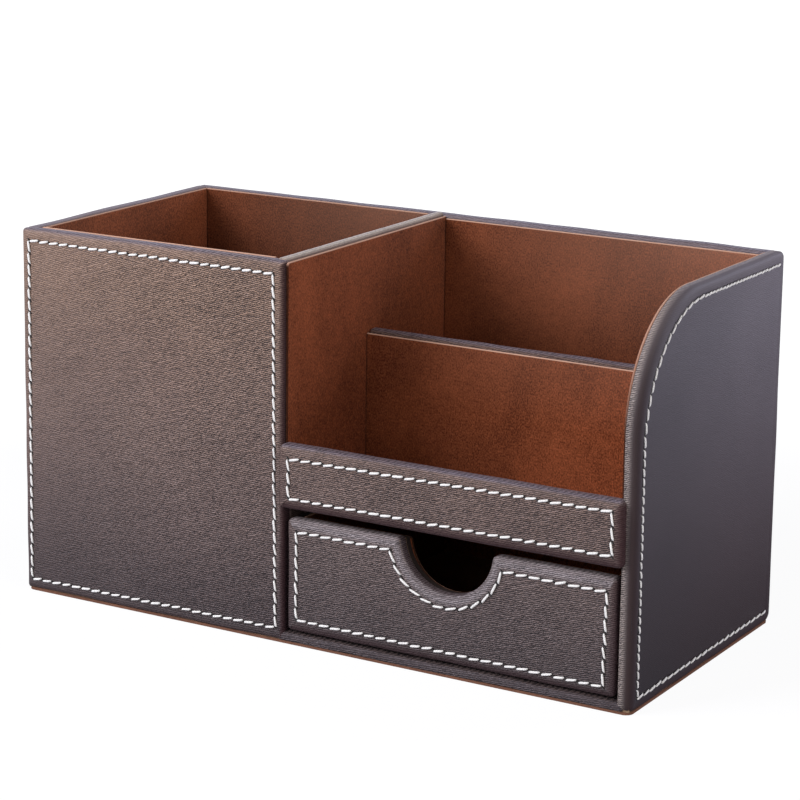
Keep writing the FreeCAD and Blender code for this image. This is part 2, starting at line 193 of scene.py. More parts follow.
class Panel:
    """A flat panel that fills a box, looked at from outside, with a seam parallel to its outline.

    Sizes are in millimetres. Across runs to the right of that view and up to its top, so the face
    looks along across x up. Corners are counted anticlockwise from the bottom left, and edges from
    the bottom. Follow is how fast a corner's radius shrinks as the outline moves inwards, and drift
    is how far the seam strays at each corner. A notch is its middle's place along the top edge, how
    high that middle lies over the edge, and its radius.
    """

    STEP = 1.2              # between the samples of a straight run
    CORNER = 1.2            # samples for each millimetre of a corner's radius, and 5 at least
    LEAST = 0.02            # the smallest radius that a corner shrinks to
    LIP = 1.6               # radius of the arcs between the top edge and the notch
    LIP_SAMPLES = 7
    BOWL_SAMPLES = 48
    BOWL_SEAM = 3.15        # length of the seam round the notch, in notch radii
    OWN_STITCHES = 12       # a bend that is no longer than this has no stitches of its own
    STRAY = 2.2             # how far from the seam its drift fades out

    def __init__(self, low, high, across, up, radii=(1.2,) * 4, seam=4.0, pitch=4.75,
                 stitched=(1, 1, 1, 1), drift=((0, 0),) * 4, follow=(1, 1, 1, 1), notch=None):
        self.across, self.up = np.array(across, float), np.array(up, float)
        self.out = np.cross(self.across, self.up)
        ends = np.array([low, high], float) / MM
        self.start = [min(ends @ axis) for axis in (self.across, self.up)]
        self.size = [max(ends @ axis) - min(ends @ axis) for axis in (self.across, self.up)]
        self.face = max(ends @ self.out)
        self.thick = self.face - min(ends @ self.out)
        self.radii, self.follow, self.notch = radii, follow, notch
        self.seam, self.pitch, self.stitched = seam, pitch, stitched
        self.drift = np.array(drift, float)
        self.legs = self._legs()
        self.phase, self.sewn, self.stitches = self._phases()

    def _legs(self):
        """The parts of the outline in order."""
        legs = []
        for k, length in enumerate(np.tile(self.size, 2)):
            samples = max(5, int(self.radii[k] * self.CORNER))
            legs.append(Leg("corner", samples, self.radii[k] * math.pi / 2, self.stitched[k - 1]))
            sewn = self.stitched[k]
            if k == 2 and self.notch:
                radius = self.notch[2]
                side = length / 2 - radius
                run = Leg("run", int(side / self.STEP), side, sewn)
                lip = Leg("lip", self.LIP_SAMPLES, 0, sewn)
                legs += [run, lip, Leg("bowl", self.BOWL_SAMPLES, radius * self.BOWL_SEAM, sewn), lip, run]
            else:
                legs.append(Leg("run", int(length / self.STEP), length, sewn))
        return legs

    def _phases(self):
        """How many stitches lie before each sample, whether the thread passes there, and their sum."""
        phase, sewn, done = [], [], 0
        for leg in self.legs:
            if leg.kind == "run":
                stitches = round(max(leg.length - 2 * self.seam, 1) / self.pitch)
                share = (np.arange(leg.samples) + 0.5) / leg.samples
            else:
                stitches = round(leg.length / self.pitch) if leg.length > self.OWN_STITCHES else 0
                share = np.linspace(0, 1, leg.samples)
            phase.append(done + share * stitches)
            sewn.append(np.full(leg.samples, float(leg.stitched)))
            done += stitches
        return np.concatenate(phase), np.concatenate(sewn), done

    def path(self, inset):
        """The closed outline, moved inwards, as points (across, up) from the panel's low corner.

        Each corner is an arc about the point where the moved edges, moved on by its radius, meet. The
        radius shrinks with the inset. Near the seam the points drift by a blend of the corners'
        drifts, which fades with a bell curve.
        """
        w, h = self.size
        sharp = np.array([[inset, inset], [w - inset, inset], [w - inset, h - inset], [inset, h - inset]])
        heading = np.array([[1.0, 0], [0, 1.0], [-1.0, 0], [0, -1.0]])
        bends = []
        for k, corner in enumerate(leg for leg in self.legs if leg.kind == "corner"):
            radius = max(self.radii[k] - inset * self.follow[k], self.LEAST)
            arrive, leave = heading[k - 1], heading[k]
            centre = sharp[k] + radius * (leave - arrive)
            turn = np.linspace(0, math.pi / 2, corner.samples)[:, None]
            bends.append(centre + radius * (np.sin(turn) * arrive - np.cos(turn) * leave))
        parts = []
        for k, length in enumerate(np.tile(self.size, 2)):
            begin, end = bends[k][-1], bends[(k + 1) % 4][0]
            edge = (self._notched_edge(begin, end, inset) if k == 2 and self.notch
                    else [self._run(begin, end, length)])
            parts += [bends[k], *edge]
        points = np.concatenate(parts)
        s, t = points[:, :1] / w, points[:, 1:] / h
        moved = ((1 - s) * (1 - t) * self.drift[0] + s * (1 - t) * self.drift[1]
                 + s * t * self.drift[2] + (1 - s) * t * self.drift[3])
        return points + moved * math.exp(-((inset - self.seam) / self.STRAY) ** 2)

    def _notched_edge(self, begin, end, inset):
        """The top edge from right to left: a run, a lip arc, the bowl of the notch, a lip arc, a run.

        The bowl is an arc about a point above the edge, and its radius grows with the inset. Each lip
        arc touches both the edge and the bowl.
        """
        centre, drop, radius = self.notch
        w, h = self.size
        lip = max(self.LIP - inset, self.LEAST)
        below = drop + inset + lip
        aside = math.sqrt((radius + inset + lip) ** 2 - below ** 2)
        dip = math.atan2(below, aside)
        right, left = [self._arc((x, h - inset - lip), lip, first, last, self.LIP_SAMPLES)
                       for x, first, last in ((centre + aside, math.pi / 2, math.pi - dip),
                                              (centre - aside, dip, math.pi / 2))]
        bowl = self._arc((centre, h + drop), radius + inset, -dip, dip - math.pi, self.BOWL_SAMPLES)
        side = w / 2 - radius
        return [self._run(begin, right[0], side), right, bowl, left, self._run(left[-1], end, side)]

    @staticmethod
    def _arc(centre, radius, first, last, samples):
        """Points on an arc between two angles, counted anticlockwise from the way across."""
        turn = np.linspace(first, last, samples)[:, None]
        return np.array(centre) + radius * np.hstack([np.cos(turn), np.sin(turn)])

    def _run(self, begin, end, length):
        """Points evenly spread from begin to end, as many as a run of this length has."""
        samples = int(length / self.STEP)
        return begin + (end - begin) * ((np.arange(samples) + 0.5)[:, None] / samples)

    def facing(self):
        """How far each sample of the outline looks to the bottom, right, top and left, from 0 to 1."""
        outline = self.path(0)
        ahead = np.roll(outline, -1, axis=0) - np.roll(outline, 1, axis=0)
        x, y = (ahead / np.linalg.norm(ahead, axis=1, keepdims=True)).T
        return np.clip(np.stack([x, y, -x, -y], -1), 0, 1)

    def on(self, *kinds):
        """Whether each sample of the outline lies on a leg of one of these kinds."""
        return np.concatenate([np.full(leg.samples, leg.kind in kinds) for leg in self.legs])

    def place(self, points, depth):
        """Points (across, up) at a depth under the face, as places in metres."""
        flat = points + np.array(self.start)
        return (flat[..., :1] * self.across + flat[..., 1:] * self.up
                + (self.face - np.asarray(depth))[..., None] * self.out) * MM


def soft_noise(points, seed, amount):
    """A smooth wander of either sign: four sine waves of 15 to 60 mm laid over each other."""
    draw = np.random.default_rng(seed)
    waves = draw.normal(size=(4, 3)) * 0.16
    starts = draw.uniform(0, 6.3, 4)
    return amount * np.sin(points / MM @ waves.T + starts).sum(-1) / 2


def mesh_piece(name, points, faces, material, body, attributes=None, uv=None):
    """A smooth mesh object at the origin that rides on a body."""
    mesh = bpy.data.meshes.new(name)
    mesh.from_pydata(points.reshape(-1, 3), [], faces)
    mesh.polygons.foreach_set("use_smooth", np.ones(len(mesh.polygons), bool))
    for label, values in (attributes or {}).items():
        mesh.attributes.new(label, "FLOAT", "POINT").data.foreach_set("value", values.ravel())
    if uv is not None:
        corners = np.zeros(len(mesh.loops), np.int32)
        mesh.loops.foreach_get("vertex_index", corners)
        mesh.uv_layers.new(name="along").data.foreach_set("uv", uv[corners].ravel())
    mesh.materials.append(material)
    mesh.update()
    piece = bpy.data.objects.new(name, mesh)
    bpy.context.scene.collection.objects.link(piece)
    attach(piece, body)
    return piece


def ring_faces(rings, count):
    """Quads between neighbouring closed rings, then a cap on the first and on the last ring."""
    ring, spot = np.meshgrid(np.arange(rings - 1), np.arange(count), indexing="ij")
    low, after = ring * count + spot, ring * count + (spot + 1) % count
    quads = np.stack([low, after, after + count, low + count], -1).reshape(-1, 4)
    last = (rings - 1) * count
    return quads.tolist() + [list(range(count - 1, -1, -1)), list(range(last, last + count))]


# PLAIN is nothing at any of the four edges. Then come sizes in millimetres and, for the notch, how
# domed it is and how dark its painted shade is, beside the edges' own 0 to 1.
PLAIN = (0, 0, 0, 0)
GROOVE_DEPTH, GROOVE_WIDTH = 0.34, 0.42
PUFF_HEIGHT, PUFF_WIDTH = 0.07, 0.9
DOME_WIDER, DOME_DEEPER = 2.2, 0.6
BESIDE_SEAM = np.array([-1.7, -1.1, -0.7, -0.4, -0.2, 0, 0.2, 0.4, 0.7, 1.1, 1.7])
WANDER_OUT, WANDER_ASIDE = 0.07, 0.08
NOTCH_DOME, NOTCH_DARKNESS = 0.6, 0.9


def wrap(name, panel, material, body, node, seed, roll=1.3, back=1.0, turn_in=10.0, skin=0.76, grain=1.0,
         dome=PLAIN, shade=PLAIN, reach=3.8, spill=0.0, strip=None, rub_and_highlight=(0.1, 0.1, 1.1, 0.1), crest=0.75,
         sheen=PLAIN):
    """The leather of a panel as a closed skin, made of rings that run parallel to the panel's outline.

    From its inner cap the skin runs under the face, round inside the edge, out along the turned-in
    leather, round the back edge, up the side, over the front edge and across the face to the outer
    cap. The front edge is a quarter of an ellipse: at an inset i its depth is
    b (1 - sqrt(1 - (1 - i / a)^2)). Its half axes a and b equal the roll, and grow where the edge is
    domed. The seam lies in a groove whose depth follows a bell curve and swells wherever the needle
    went through, and the leather puffs up beside it in a second bell. Last, a smooth wander bends the
    whole skin in front of the board, less inside the seam than outside.

    Dome, shade, strip, rub_and_highlight and sheen are given for the bottom, right, top and left edge,
    and a notch counts as top edge. Shade is painted shade: how dark the face becomes at its edge. It
    fades inwards over the reach, and spill is the share of it that stays as the edge turns over. Strip
    is painted shade on the narrow side behind the edge, and in a notch that side always takes painted
    shade. The rub_and_highlight values say how strongly the edge takes the wear_and_highlight colour,
    partly wear and partly a painted highlight and reflection, crest how strongly the narrow side beside
    it does, and sheen how strongly a painted sheen lies on the face next to the edge.
    """
    towards = panel.facing() ** 2
    domed = towards @ np.array(dome, float) + NOTCH_DOME * panel.on("bowl") * towards[:, 2]
    across_edge, down_edge = roll + DOME_WIDER * domed, roll + DOME_DEEPER * domed
    widest = roll + DOME_WIDER * max(dome)
    # The caps' inset: 11 mm, less in a narrow panel, and 9 mm under a notch.
    middle = min(9.0 if panel.notch else min(panel.size) * 0.5 - 0.5, 11.0)
    near = panel.seam + BESIDE_SEAM
    near = near[(near > widest + 0.1) & (near < middle - 0.1)]
    quarter = np.linspace(0, math.pi / 2, 7)
    thick = panel.thick
    under = [(middle, skin), (skin, skin), (skin, thick - skin), (turn_in, thick - skin), (turn_in, thick)]
    behind = [(back * (1 - math.sin(q)), thick - back * (1 - math.cos(q))) for q in quarter]

    in_notch = panel.on("lip", "bowl")
    facing = np.where(in_notch[:, None], (0, 0, 1, 0), towards)
    # Painted shade from shade and strip, painted sheen, and wear with a painted highlight per sample.
    shaded, gleam, wear_and_highlight = [facing @ np.array(values, float) for values in (shade, sheen, rub_and_highlight)]
    hidden = np.where(in_notch, NOTCH_DARKNESS, facing @ np.array(strip or shade, float))
    level = np.ones(len(facing))
    rings, edge, painted_shade, creased = [], [], [], []
    # On the narrow side, the outer rings, come crest's wear and painted highlight and the strip's painted
    # shade.
    for index, (inset, depth) in enumerate(under + behind):
        outer = index >= len(under)
        rings.append((inset, level * depth))
        edge.append(level * (crest if outer else 0))
        painted_shade.append(hidden if outer else level * 0)
        creased.append(0.9 - 0.6 * towards[:, 2])
    for inset in np.concatenate([widest * (1 - np.cos(quarter)), near, [middle]]):
        part = np.clip(1 - inset / across_edge, 0, 1)
        deep = down_edge * (1 - np.sqrt(1 - part ** 2))
        groove = GROOVE_DEPTH * np.exp(-((inset - panel.seam) / GROOVE_WIDTH) ** 2)
        holes = 0.62 + 0.38 * np.cos(2 * math.pi * panel.phase)
        puff = PUFF_HEIGHT * math.exp(-((inset - panel.seam * 0.62) / PUFF_WIDTH) ** 2)
        rings.append((inset, deep + groove * holes * panel.sewn - puff * (part < 0.3)))
        # Wear with a painted highlight on the rim, a painted sheen beside it, painted shade fading
        # inwards.
        turned = np.clip(deep / down_edge, 0, 1)
        edge.append(np.maximum(np.clip(turned * 3 - 0.4, 0, 1),
                               gleam * math.exp(-((inset - 1.8) / 1.4) ** 2)))
        fading = max(1 - inset / reach, 0) ** 0.5
        painted_shade.append(shaded * (1 - (1 - spill) * turned) * fading + hidden * turned)
        creased.append(level * grain * (1 - 0.4 * math.exp(-(inset / 3.0) ** 2)))

    places = []
    for index, (inset, deep) in enumerate(rings):
        spots = panel.place(panel.path(inset), deep)
        if index >= len(under) - 1:
            freedom = 1.0 if inset < panel.seam else 0.35
            spots = spots + (
                soft_noise(spots, seed, WANDER_OUT)[:, None] * freedom * panel.out
                + soft_noise(spots, seed + 1, WANDER_ASIDE)[:, None] * (panel.across + panel.up)) * MM
        places.append(spots)
    points = np.array(places)
    piece = mesh_piece(name, points, ring_faces(*points.shape[:2]), material, body,
                       {"edge": np.array(edge) * wear_and_highlight, "painted_shade": np.array(painted_shade), "grain": np.array(creased)})
    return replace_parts(piece, node)


def thread_finish():
    """Twisted white cotton thread: plies wind round it, and its dark marks are painted needle shadows."""
    material, shader, place = finish("thread", Specular_IOR_Level=0.3, Roughness=0.7, Sheen_Weight=0.2)
    painted_hole_shadow = place.attribute("painted_hole_shadow")
    plies = place.make("TexWave", {"wave_type": "BANDS", "bands_direction": "DIAGONAL"},
                       {"Vector": place.make("UVMap", {"uv_map": "along"}), "Scale": 1.6,
                        "Distortion": 0.4}, "Fac")
    white = (plies * 0.6 + place.noise(5000) * 0.5).clamped()
    white = white.mixed(colour(0.88, 0.87, 0.86), colour(1.0, 0.995, 0.985))
    # Painted shadow: the slits take a near-black colour.
    feed(shader, Base_Color=painted_hole_shadow.mixed(white, colour(0.012, 0.008, 0.007)),
         Normal=place.bump(plies * (1 - painted_hole_shadow), 0.5, 0.08))
    return material


thread = thread_finish()
AROUND = 8              # points round a stitch and round a needle hole
SLANT = 8.0             # degrees between a stitch and its seam
SLIT_HALF_LENGTH, SLIT_HALF_WIDTH = 1.25, 0.42
LONGWAYS, SIDEWAYS = np.array([0.68, -0.73]), np.array([0.73, 0.68])


def copies(faces, size, count, first=0):
    """The faces of a capped tube that has so many points, for copies whose points follow each other."""
    shifts = first + size * np.arange(count)[:, None, None]
    return [face for kind in (faces[:-2], faces[-2:])
            for face in (np.array(kind) + shifts).reshape(-1, len(kind[0])).tolist()]


def sew(name, panel, body, seed, radius=0.45, length=0.98):
    """The stitches of a panel's seam, each a plump capsule that dips into a needle puncture at both ends.

    Along a stitch u goes from -1 to 1. Its radius follows the square root of 1 - u^4, its middle line
    lies 0.30 - 0.5 u^6 mm over the leather, and it swings 0.2 u^3 mm aside, because the twist of the
    thread pulls its two ends apart. The angle v goes once round it. Slant, length, place and
    thickness differ a little from stitch to stitch. Between two stitches lies a flat dark slit in the
    shape of an ellipse whose middle stands 0.03 mm higher than its rim: painted shadow in the needle
    puncture and under the stitches' ends.
    """
    draw = np.random.default_rng(seed)
    ring = panel.path(panel.seam)
    order = np.arange(panel.stitches)
    order = order[np.interp(order + 0.5, panel.phase, panel.sewn) > 0.5]
    mid = order + 0.5
    count = len(mid)

    def spot(phase):
        """Where the seam has come to after this many stitches."""
        return np.stack([np.interp(phase, panel.phase, ring[:, axis]) for axis in (0, 1)], -1)

    ends = spot(mid + 0.46) - spot(mid - 0.46)
    span = np.linalg.norm(ends, axis=1, keepdims=True)
    along = ends / span
    tilt = np.radians(SLANT + draw.normal(0, 2.2, count))[:, None]
    inward = np.stack([-along[:, 1], along[:, 0]], -1)
    direction = along * np.cos(tilt) + inward * np.sin(tilt)
    aside = np.stack([-direction[:, 1], direction[:, 0]], -1)
    reach = span / 0.92 * length / 2 * draw.normal(1, 0.035, (count, 1))
    centre = spot(mid) + inward * draw.normal(0, 0.07, (count, 1))

    u = np.linspace(-1, 1, 9)
    v = np.linspace(0, 2 * math.pi, AROUND, endpoint=False)
    thick = radius * draw.normal(1, 0.04, (count, 1, 1))
    girth = (np.clip(1 - u ** 4, 0, 1) ** 0.5)[:, None] * thick
    swing = (0.2 * u ** 3)[:, None] + np.cos(v) * girth
    rise = (0.30 - 0.5 * u ** 6)[:, None] + np.sin(v) * girth * 0.85
    lengthways = (direction[:, None] * (u * reach)[..., None])[:, :, None]
    flat = centre[:, None, None] + lengthways + aside[:, None, None] * swing[..., None]
    stitches = panel.place(flat, -rise).reshape(-1, 3)
    uv = np.stack(np.broadcast_arrays(u[:, None] + order[:, None, None] * 3.0, v / (2 * math.pi)), -1)

    # Painted shadow: a flat dark slit at each needle puncture, between two stitches.
    gaps = spot(np.concatenate([mid - 0.5, mid[-1:] + 0.5]))[:, None]
    slit = (np.cos(v)[:, None] * SLIT_HALF_LENGTH * LONGWAYS
            + np.sin(v)[:, None] * SLIT_HALF_WIDTH * SIDEWAYS)
    holes = np.stack([panel.place(gaps + slit * share, np.full((len(gaps), AROUND), -lift))
                      for share, lift in ((1.0, 0.04), (0.6, 0.07))], 1).reshape(-1, 3)

    stitch_faces = [face[::-1] for face in ring_faces(len(u), AROUND)]
    faces = (copies(stitch_faces, len(u) * AROUND, count)
             + copies(ring_faces(2, AROUND), 2 * AROUND, len(gaps), first=len(stitches)))
    return mesh_piece(name, np.concatenate([stitches, holes]), faces, thread, body,
                      {"painted_hole_shadow": np.repeat([0.0, 1.0], [len(stitches), len(holes)])},
                      np.concatenate([uv.reshape(-1, 2), np.zeros((len(holes), 2))]))


# Its slate rim colour is partly wear and partly a painted reflection of the pale surround.
leather = leather_finish("leather")
X, Y, Z = np.eye(3)
WALL = 5.2 * MM
ARC = 46.5
wall_low, wall_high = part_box("outer_leather")
side_low = Vector((wall_high.x - WALL, wall_low.y, wall_low.z))
right_side = Panel(side_low, wall_high, Y, Z, radii=(2.4, 3.0, 2.2, ARC), seam=4.5, pitch=4.9,
                   stitched=(1, 0, 1, 1), follow=(1, 1, 1, 0.33),
                   drift=((0.6, -0.3), (0, -0.3), (0, -0.1), (0.3, 0.2)))
# A shaded copy of the leather for the right side: painted darker and cooler for the shade it lies in, and
# lighter towards its top and back by painted light. A pale painted highlight lies on its front arc and top
# edge, and painted shade runs along its bottom and front edges.
shaded_side_leather = leather_finish("shaded_side_leather", (0.018, 0.003, 0.0015), (0.062, 0.054, 0.062),
                              wear_and_highlight=(0.26, 0.215, 0.195), painted_shade_colour=(0.016, 0.003, 0.002), gloss=0.5,
                              painted_back_light=6.0)
wrap("right_side", right_side, shaded_side_leather, "case", "outer_leather", seed=11, grain=0.10,
     dome=(0, 0, 0.2, 0.9), shade=(0.8, 0.2, 0.3, 1), spill=0.8, strip=(0.1, 0.1, 0.2, 0.0),
     rub_and_highlight=(0.03, 0.03, 0.27, 0.3), crest=6.0, sheen=(0, 0, 0.5, 0.1))
sew("right_side_seam", right_side, "case", seed=12, radius=0.4, length=1.0)


# Back and left side walls, made like the right one and covered by the same piece of leather. Each is
# tucked under its neighbour at the corner, so that no gap opens there.

TUCK = 2.2 * MM         # how far an end runs on under its neighbour
LOWER = 0.03 * MM       # keeps two covers out of one plane
back_low = Vector((wall_low.x, wall_high.y - WALL, wall_low.z))
back_high = Vector((wall_high.x - WALL + TUCK, wall_high.y - LOWER, wall_high.z - LOWER))
back_wall = Panel(back_low, back_high, -X, Z, radii=(1.2, 2.4, 1.6, 1.2), seam=4.5, pitch=4.9,
                  stitched=(1, 0, 1, 0))
wrap("back_wall", back_wall, leather, "case", "outer_leather", seed=21, grain=0.5, rub_and_highlight=(0, 0, 1.4, 0))
sew("back_wall_seam", back_wall, "case", seed=22)

left_low = Vector((wall_low.x + LOWER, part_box("pen_front_leather")[1].y - TUCK, wall_low.z))
left_high = Vector((wall_low.x + WALL, wall_high.y - WALL + TUCK, wall_high.z - LOWER * 2))
left_side = Panel(left_low, left_high, -Y, Z, seam=4.5, pitch=4.9, stitched=(1, 0, 1, 0))
wrap("left_side", left_side, leather, "case", "outer_leather", seed=31, grain=0.5)
sew("left_side_seam", left_side, "case", seed=32)


# Front of the pen box: a board in leather of its own, stitched all round, that covers the ends of the
# left side and of the divider.

low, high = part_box("pen_front_leather")
pen_front = Panel(low, high, X, Z, radii=(1.4, 1.2, 1.4, 1.6), seam=4.0, pitch=4.65,
                  drift=((-1.2, -0.2), (0.9, 0.4), (-0.5, -1.0), (-0.1, -0.5)))
# Painted shade darkens its right edge and a little its bottom edge.
wrap("pen_front", pen_front, leather, "case", "pen_front_leather", seed=41, dome=(0, 0, 0.3, 0.7),
     shade=(0.4, 1, 0, 0), reach=1.7)
sew("pen_front_seam", pen_front, "case", seed=42)


# Divider between the pen box and the letter bay: a board whose leather covers its right face and its
# top, which is fully rounded and stands a little proud of the linings beside it. Its pale top is a
# painted highlight, and painted shade darkens its right shoulder.

BEAD_RISE = 0.5 * MM
low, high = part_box("divider_leather")
divider = Panel(low - Vector((0, TUCK, 0)), high + Vector((0, TUCK, BEAD_RISE)), Y, Z, stitched=PLAIN)
# The bead's pale rim colour is a painted highlight.
highlit_bead_leather = leather_finish("highlit_bead_leather", wear_and_highlight=(0.62, 0.54, 0.47))
wrap("divider", divider, highlit_bead_leather, "case", "divider_leather", seed=51, roll=2.6, back=2.6,
     grain=0.4, shade=(0, 0, 1, 0), strip=PLAIN, rub_and_highlight=(0, 0, 1.5, 0))


# Ledge over the drawer: a stitched strip that stands proud of the case and closes the front of the
# letter bay. Its right end laps over the front edge of the side wall.

low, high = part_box("ledge_leather")
ledge = Panel(low, high, X, Z, radii=(1.6, 2.0, 2.0, 1.6), seam=4.1, pitch=4.75,
              drift=((0.1, 0.35), (0.4, 0.3), (0.4, 0.25), (0.1, -1.05)))
# Painted shade darkens its bottom and its right end, and a little its left end.
wrap("ledge", ledge, leather, "case", "ledge_leather", seed=61, back=0.9, turn_in=8.0,
     dome=(1, 0, 0.3, 0), shade=(1, 1, 0, 0.3))
sew("ledge_seam", ledge, "case", seed=62)


# Partition between the front and the rear slot: a thin board with leather over its top and its ends.
# It stands on the shelf, between the linings of the two slots' floors.

low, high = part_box("partition_leather")
partition = Panel(low, high, X, Z, stitched=PLAIN)
# Painted shade darkens its top edge, on the face and on the top itself.
wrap("partition", partition, leather, "case", "partition_leather", seed=71, roll=1.7, back=1.7,
     shade=(0, 0, 0.6, 0), strip=(0, 0, 0.15, 0), rub_and_highlight=(0, 0, 1.1, 0))


# Low rail under the drawer: the front edge of the base board, wrapped in the same leather. Its ends
# are tucked behind the pen box's front and the right side wall.

low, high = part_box("base_front_leather")
rail = Panel(low - TUCK * Vector(X), high + TUCK * Vector(X), X, Y, stitched=PLAIN)
wrap("base_rail", rail, leather, "case", "base_front_leather", seed=81, back=0.6, turn_in=4.0, skin=0.5)


# Linings of the pen box and of the letter bay: thin cards wrapped in rust-brown suede. Their upper
# edges are pale, partly wear and partly a painted highlight, and painted shade darkens their other
# rims. Each is glued to its wall or floor.

def suede_finish():
    """Suede: short fibres in lighter and darker patches, with pale upper edges and hazy tops.

    Three attributes shape it: "lightness" is painted light and shade, how light the card is painted,
    darker on rims that do not face up; "edge" is 1 on an upper edge that is partly wear and partly a
    painted highlight; and "painted_haze" is how strong a painted pale sheen is on the upper part of a
    wall. Painted light also makes the suede lighter towards the right of the letter bay.
    """
    material, shader, place = finish("suede", Specular_IOR_Level=0.1, Sheen_Weight=0.12,
                                     Sheen_Roughness=0.42, Sheen_Tint=colour(0.95, 0.7, 0.55))
    rim_wear_and_highlight, painted_card_light, painted_haze = [place.attribute(label) for label in ("edge", "lightness", "painted_haze")]
    clouds = place.stretched((1.0, 1.0, 1.7)).noise(26, 3.0, 0.5)
    blotches = place.noise(420, 3.0, 0.5)
    fibres = place.stretched((1.0, 1.0, 1.4)).noise(1900)
    lightness = clouds * 0.30 + blotches * 0.14 + fibres * 0.56
    tone = ((lightness - 0.5) * 4.0 + 0.5).clamped()
    # Painted light: each card's lightness, and lighter towards the right of the letter bay.
    painted_suede_light = painted_card_light * ((place.axis("X") * 11 - 0.5).clamped() * 0.7 + 0.92)
    body = painted_suede_light.times(tone.mixed(colour(0.080, 0.018, 0.006), colour(0.31, 0.085, 0.033)))
    # Painted haze: a pale painted sheen that grows towards the top of a card, by its painted_haze.
    with_painted_haze = ((place.axis("Z") * 16 - 1.3).clamped() * painted_haze).mixed(body, colour(0.40, 0.25, 0.19))
    # The upper rim: partly wear, partly a painted highlight.
    feed(shader, Base_Color=(rim_wear_and_highlight * 0.95).clamped().mixed(with_painted_haze, colour(0.70, 0.43, 0.32)),
         Roughness=(0.86 + (fibres - 0.5) * 0.2).clamped(),
         Normal=place.bump(blotches * 0.2 + fibres * 0.8, 0.8, 0.3))
    return material


suede = suede_finish()
CARD_ROUND, CARD_RINGS = 0.45, [1.4, 3.0]


def card(node, view, body="case", radii=(0.4,) * 4, notch=None, lightness=1.0, painted_haze=(0.1, 0.1), rise=0):
    """A lining card as rings parallel to its outline: a cap, two quarter circles round the edge, a cap.

    View is the way to the right and the way up for someone who looks at the card. Its upper edge is
    pale, partly wear and partly a painted highlight, on the back too where the card rises over its
    wall, and painted shade darkens its other rims. Its lightness is painted light and shade for the
    whole card, painted_haze is how strong a painted pale sheen is at the left and at the right end of
    the card, and rise lifts the card's top by so many millimetres.
    """
    low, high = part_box(node)
    high.z += rise * MM
    panel = Panel(low, high, *view, radii=radii, stitched=PLAIN, notch=notch)
    quarter = np.linspace(0, math.pi / 2, 4)
    roll = min(CARD_ROUND, panel.thick / 2 - 0.02)
    out, over = roll * (1 - np.sin(quarter)), roll * (1 - np.cos(quarter))
    insets = np.concatenate([CARD_RINGS[-1:], out, over, CARD_RINGS])
    depths = np.concatenate([[panel.thick], panel.thick - over, out, [0.0, 0.0]])
    points = np.array([panel.place(panel.path(inset), np.full(len(panel.phase), depth))
                       for inset, depth in zip(insets, depths)])
    upward = panel.facing()[:, 2]
    along = (points @ panel.across / MM - panel.start[0]) / panel.size[0]
    front = (np.arange(len(insets)) > (0 if rise > 0 else len(quarter)))[:, None]
    rim = (insets < roll * 0.75)[:, None]
    # Painted shade on rims that do not face up, and a pale upper rim of wear and painted highlight.
    piece = mesh_piece(node + "_card", points, ring_faces(*points.shape[:2]), suede, body,
                       {"edge": rim * front * upward * min(lightness, 1),
                        "lightness": np.where(rim, lightness * (0.2 + 0.8 * upward * front), lightness),
                        "painted_haze": painted_haze[0] + (painted_haze[1] - painted_haze[0]) * along})
    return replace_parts(piece, node)


LEFTWARD, RIGHTWARD, FORWARD, REARWARD, UPWARD = (-Y, Z), (Y, Z), (X, Z), (-X, Z), (X, Y)
# Each card's lightness is painted light and shade for the light that reaches it, and its painted_haze is a
# painted pale sheen that changes from the card's left end to its right end.
card("pen_lining_left", RIGHTWARD, lightness=1.35, painted_haze=(0.12, 0.05))
card("pen_lining_right", LEFTWARD, rise=-0.4)
card("pen_lining_front", REARWARD, rise=0.4)
card("pen_lining_back", FORWARD, lightness=0.75, painted_haze=(0.0, 0.32))
card("pen_lining_floor", UPWARD)
card("bay_lining_back", FORWARD, lightness=0.90, painted_haze=(0.0, 0.4))
card("bay_lining_front", REARWARD)
card("front_slot_floor", UPWARD)
card("rear_slot_floor", UPWARD)
card("partition_lining_front", FORWARD, lightness=1.05, painted_haze=(0.0, 0.4))
card("partition_lining_rear", REARWARD)
card("bay_floor_lining", UPWARD)
card("bay_lining_left", RIGHTWARD, radii=(0.4, 0.4, 0.4, 1.2), lightness=1.1, painted_haze=(0.0, 0.06), rise=0.8)
card("bay_lining_right", LEFTWARD, radii=(0.4, 0.4, ARC - 1.4, 0.4), painted_haze=(0.03, 0.03), rise=1.0)


# Drawer front: a board with a half-round finger notch in its top edge, in one piece of leather that
# is stitched all round and follows the notch. It is glued to the front of the drawer box.

front_low, front_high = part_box("drawer_front_leather")
NOTCH_DROP, NOTCH_RADIUS = 1.0, 18.8
notch = ((front_high.x - front_low.x) / MM / 2 - 0.5, NOTCH_DROP, NOTCH_RADIUS)
drawer_face = Panel(front_low, front_high, X, Z, radii=(1.6, 1.8, 1.8, 1.6), seam=4.2, pitch=4.75,
                    notch=notch, drift=((-0.4, 0.8), (-0.2, -0.6), (0.7, -1.0), (-0.3, -0.4)))
# A lit copy of the leather for the drawer front: painted lighter, standing in for light that the ledge
# keeps off it. Its pale lavender rim colour along the top edge and round the notch is a painted highlight,
# and painted shade darkens its bottom and right edges, less its left.
lit_drawer_leather = leather_finish("lit_drawer_leather", (0.130, 0.099, 0.098), (0.162, 0.110, 0.086),
                                wear_and_highlight=(0.29, 0.262, 0.28))
wrap("drawer_face", drawer_face, lit_drawer_leather, "drawer", "drawer_front_leather", seed=91,
     turn_in=6.0, dome=(0.8, 0.4, 0.2, 0), shade=(0.8, 0.7, 0, 0.3), reach=3.0,
     strip=(0.8, 1, 0.35, 0.3), sheen=(0, 0, 0.8, 0.2))
sew("drawer_face_seam", drawer_face, "drawer", seed=92)


